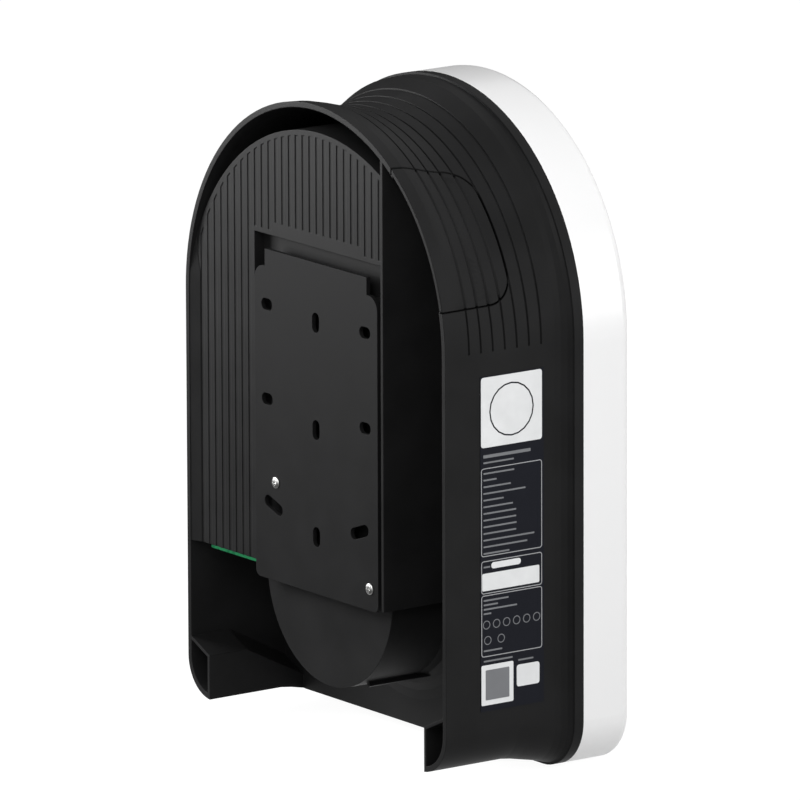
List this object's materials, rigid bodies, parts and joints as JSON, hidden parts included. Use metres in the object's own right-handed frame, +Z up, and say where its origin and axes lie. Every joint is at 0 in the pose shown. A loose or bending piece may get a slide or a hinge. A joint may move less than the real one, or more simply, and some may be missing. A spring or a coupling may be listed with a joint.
{
  "type": "ev wallbox",
  "caption": "Arch-topped wall charging unit with a slotted rear bracket, ribbed back, cable-wrap saddle, side access cover and a front socket under a hinged flap.",
  "frame": {"origin": "middle of the four outer wall-screw slots of the bracket, on the wall plane", "axes": "+Z up the wall, +Y into the wall, so that the front faces -Y, +X to the right seen from the front"},
  "size_m": [0.2504, 0.1175, 0.3602],
  "materials": {
    "housing_plastic": "fine-textured moulding",
    "cover_white": "glossy",
    "bracket_paint": "matt powder coat",
    "zinc_steel": "zinc plated",
    "label_film": "satin printed film",
    "board_green": "solder mask",
    "seal_rubber": "matt",
    "inner_plastic": "moulded",
    "socket_plastic": "moulded",
    "contact_brass": "plated",
    "spring_steel": "drawn wire",
    "light_lens": "translucent",
    "case_plastic": "moulded"
  },
  "bodies": {
    "unit": {"housing": "housing_plastic", "front_cover": "cover_white", "wall_bracket": "bracket_paint", "bracket_screws": "zinc_steel", "inner_cover_screws": "zinc_steel", "front_cover_screws": "zinc_steel", "socket_screws": "zinc_steel", "power_board_screws": "zinc_steel", "light_board_screws": "zinc_steel", "reader_board_screws": "zinc_steel", "terminal_screws": "zinc_steel", "flap_hinge_pin": "zinc_steel", "rating_label": "label_film", "edge_board": "board_green", "power_board": "board_green", "light_board": "board_green", "reader_board": "board_green", "inner_cover_seal": "seal_rubber", "cable_grommet": "seal_rubber", "inner_cover": "inner_plastic", "socket_housing": "socket_plastic", "contact_carrier": "socket_plastic", "power_contacts": "contact_brass", "signal_contacts": "contact_brass", "flap_spring": "spring_steel", "light_guide": "light_lens", "contactor": "case_plastic", "terminal_block": "case_plastic", "current_sensor": "case_plastic", "lock_actuator": "case_plastic"},
    "access_cover": {"side_access_cover": "housing_plastic"},
    "flap": {"socket_flap": "socket_plastic"},
    "lock": {"lock_pin": "zinc_steel"}
  },
  "joints": [
    {"name": "flap_hinge", "type": "hinge", "parent": "unit", "child": "flap", "pos_m": [0, -0.1145, -0.0821], "axis": [-1, 0, 0], "range_deg": [0, 95], "stiffness_Nm_per_rad": 0.01, "springref_deg": -57.3},
    {"name": "lock_slide", "type": "slide", "parent": "unit", "child": "lock", "axis": [0, 0, -1], "range_m": [0, 0.0045]},
    {"name": "cover_release", "type": "slide", "parent": "unit", "child": "access_cover", "axis": [-0.866, 0, 0.5], "range_m": [0, 0.03]}
  ]
}
